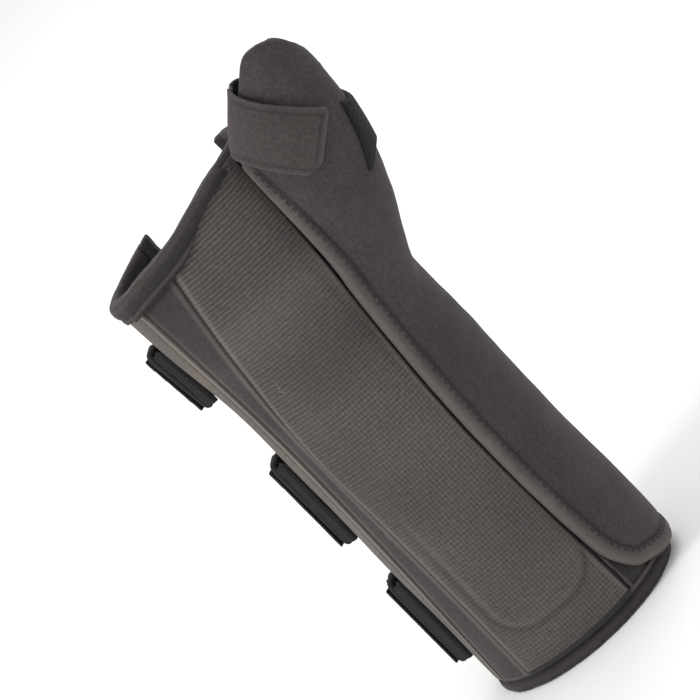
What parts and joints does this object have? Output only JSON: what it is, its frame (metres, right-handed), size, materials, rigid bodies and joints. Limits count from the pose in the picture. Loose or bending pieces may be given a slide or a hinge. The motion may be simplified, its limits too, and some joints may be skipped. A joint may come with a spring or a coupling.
{
  "type": "wrist splint",
  "caption": "Right-hand wrist and thumb splint: padded fabric sleeve with a stiffened palm pocket, side flap, thumb sleeve and strap closures at the back.",
  "frame": {"origin": "in the plane of the forearm rim, near the middle of its oval opening", "axes": "+Z from the forearm to the fingers, -Y out of the palm side, +X to the thumb side"},
  "size_m": [0.1311, 0.0806, 0.2536],
  "materials": {
    "face_fabric": "brushed polyester knit laminated to foam",
    "corded_fabric": "corded crosswise weave",
    "lining_fabric": "soft knit",
    "foam": "open-cell foam",
    "loop_fabric": "brushed loop",
    "binding_tape": "folded knit tape",
    "webbing": "woven strap",
    "strap_fabric": "loop-faced strap",
    "hook_tape": "moulded hooks",
    "loop_wire": "black coating",
    "stay_metal": "rolled"
  },
  "bodies": {
    "root": {"lining": "lining_fabric", "foam_shell": "foam", "ulnar_panel": "face_fabric", "trim_band": "face_fabric", "landing_panel": "loop_fabric", "palmar_pocket": "corded_fabric", "palmar_stay": "stay_metal", "pocket_welt": "binding_tape", "palm_binding": "binding_tape", "forearm_binding": "binding_tape", "dorsal_tape_ulnar": "binding_tape", "dorsal_tape_radial": "binding_tape", "tongue": "lining_fabric", "dorsal_stay_pocket": "face_fabric", "hand_strap": "webbing", "hand_slot_loop": "loop_wire", "hand_keeper": "webbing", "wrist_strap": "webbing", "wrist_slot_loop": "loop_wire", "wrist_keeper": "webbing", "forearm_strap": "webbing", "forearm_slot_loop": "loop_wire", "forearm_keeper": "webbing"},
    "flap": {"radial_flap": "face_fabric", "flap_edge": "face_fabric", "flap_hook_strip": "hook_tape", "sleeve_back": "face_fabric", "sleeve_binding": "face_fabric", "thumb_stay": "stay_metal", "thumb_strap": "webbing"},
    "thumb_tab": {"thumb_strap_tab": "strap_fabric", "thumb_strap_hook": "hook_tape"},
    "dorsal_stay": {"dorsal_stay": "stay_metal"},
    "hand_tail": {"hand_strap_tail": "webbing", "hand_strap_hook": "hook_tape"},
    "wrist_tail": {"wrist_strap_tail": "webbing", "wrist_strap_hook": "hook_tape"},
    "forearm_tail": {"forearm_strap_tail": "webbing", "forearm_strap_hook": "hook_tape"}
  },
  "joints": [
    {"name": "flap_hinge", "type": "hinge", "parent": "root", "child": "flap", "pos_m": [0.0348, 0.019, 0.12], "axis": [0, 0, 1], "range_deg": [0, 60]},
    {"name": "thumb_tab_peel", "type": "hinge", "parent": "flap", "child": "thumb_tab", "pos_m": [0.0342, -0.0172, 0.24064], "axis": [-0.6538, 0, -0.7566], "range_deg": [0, 110]},
    {"name": "dorsal_stay_slide", "type": "slide", "parent": "root", "child": "dorsal_stay", "axis": [0, 0, 1], "range_m": [0, 0.145]},
    {"name": "hand_tail_peel", "type": "hinge", "parent": "root", "child": "hand_tail", "pos_m": [-0.056, 0.01181, 0.174], "axis": [-0.1063, 0.0354, 0.9937], "range_deg": [0, 120]},
    {"name": "wrist_tail_peel", "type": "hinge", "parent": "root", "child": "wrist_tail", "pos_m": [-0.05272, 0.0092, 0.1045], "axis": [-0.0074, 0.0325, 0.9994], "range_deg": [0, 120]},
    {"name": "forearm_tail_peel", "type": "hinge", "parent": "root", "child": "forearm_tail", "pos_m": [-0.05259, 0.00791, 0.039], "axis": [0.0001, -0.0003, 1], "range_deg": [0, 120]}
  ]
}
